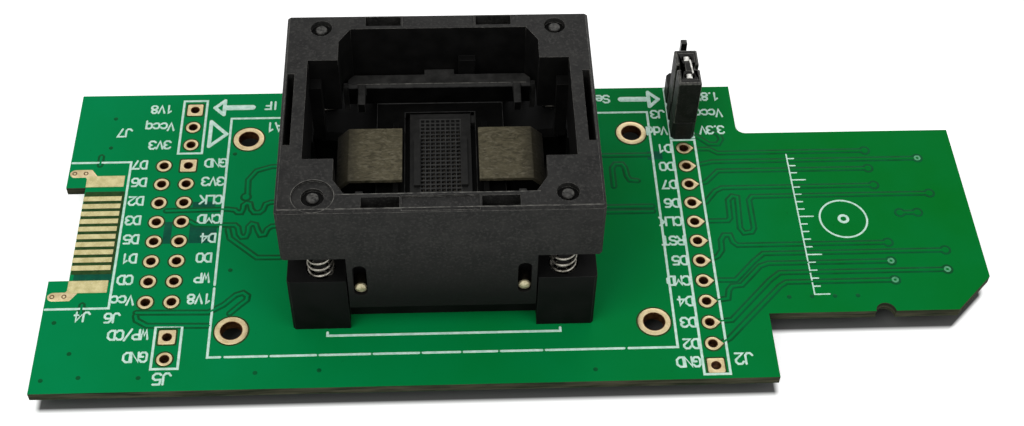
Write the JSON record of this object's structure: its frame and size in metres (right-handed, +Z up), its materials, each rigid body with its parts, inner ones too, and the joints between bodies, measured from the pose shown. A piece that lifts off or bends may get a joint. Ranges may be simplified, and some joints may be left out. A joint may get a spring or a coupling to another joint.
{
  "type": "memory chip test socket on an adapter board",
  "caption": "Open-top test socket with a sprung press-down cover and swinging latches on a green adapter board with a card tongue, edge fingers and a jumper header.",
  "frame": {"origin": "under the middle of the board, on the surface that the socket's pegs stand on", "axes": "+X towards the card tongue, +Y away from the front edge, +Z up"},
  "size_m": [0.094, 0.0384, 0.0209],
  "materials": {
    "board_green": "solder mask",
    "gold": "gold plate",
    "black_plastic": "moulded",
    "base_plastic": "moulded",
    "slider_plastic": "moulded",
    "cover_plastic": "moulded, worn at the edges",
    "olive_plate": "mottled",
    "pin_metal": "tin plate",
    "contact_metal": "plated",
    "shaft_metal": "turned",
    "spring_steel": "drawn wire"
  },
  "bodies": {
    "adapter_board": {"circuit_board": "board_green", "edge_fingers": "gold", "card_contacts": "gold", "header_insulator": "black_plastic", "header_pins": "pin_metal", "socket_base": "base_plastic", "contact_pins": "contact_metal", "tail_plate": "base_plastic", "package_nest": "black_plastic", "latch_shaft_left": "shaft_metal", "latch_shaft_right": "shaft_metal", "latch_spring_left": "spring_steel", "latch_spring_right": "spring_steel", "cover_spring_front_left": "spring_steel", "cover_spring_back_left": "spring_steel", "cover_spring_front_right": "spring_steel", "cover_spring_back_right": "spring_steel"},
    "cover": {"operating_cover": "cover_plastic"},
    "left_latch": {"latch_left": "black_plastic", "pressure_plate_left": "olive_plate"},
    "right_latch": {"latch_right": "black_plastic", "pressure_plate_right": "olive_plate"},
    "slider": {"contact_slider": "slider_plastic"},
    "jumper": {"jumper_cap": "black_plastic", "jumper_clip": "pin_metal"}
  },
  "joints": [
    {"name": "cover_press", "type": "slide", "parent": "adapter_board", "child": "cover", "axis": [0, 0, -1], "range_m": [0, 0.003], "stiffness_N_per_m": 5000, "springref_m": -0.001, "deforming": ["latch_spring_left", "latch_spring_right", "cover_spring_front_left", "cover_spring_back_left", "cover_spring_front_right", "cover_spring_back_right"]},
    {"name": "latch_left_swing", "type": "hinge", "parent": "adapter_board", "child": "left_latch", "pos_m": [-0.0157, 0, 0.0092], "axis": [0, -1, 0], "range_deg": [0, 45], "stiffness_Nm_per_rad": 0.002, "springref_deg": -17.19},
    {"name": "latch_right_swing", "type": "hinge", "parent": "adapter_board", "child": "right_latch", "pos_m": [-0.0003, 0, 0.0092], "axis": [0, 1, 0], "range_deg": [0, 45], "stiffness_Nm_per_rad": 0.002, "springref_deg": -17.19},
    {"name": "contact_slide", "type": "slide", "parent": "adapter_board", "child": "slider", "axis": [1, 0, 0], "range_m": [0, 0.00016], "stiffness_N_per_m": 500},
    {"name": "jumper_pull", "type": "slide", "parent": "adapter_board", "child": "jumper", "axis": [0, 0, 1], "range_m": [0, 0.0075]}
  ],
  "couplings": [
    {"joint": "latch_left_swing", "follows": "cover_press", "rad_per_m": 261},
    {"joint": "latch_right_swing", "follows": "cover_press", "rad_per_m": 261},
    {"joint": "contact_slide", "follows": "cover_press", "ratio": 0.053}
  ]
}
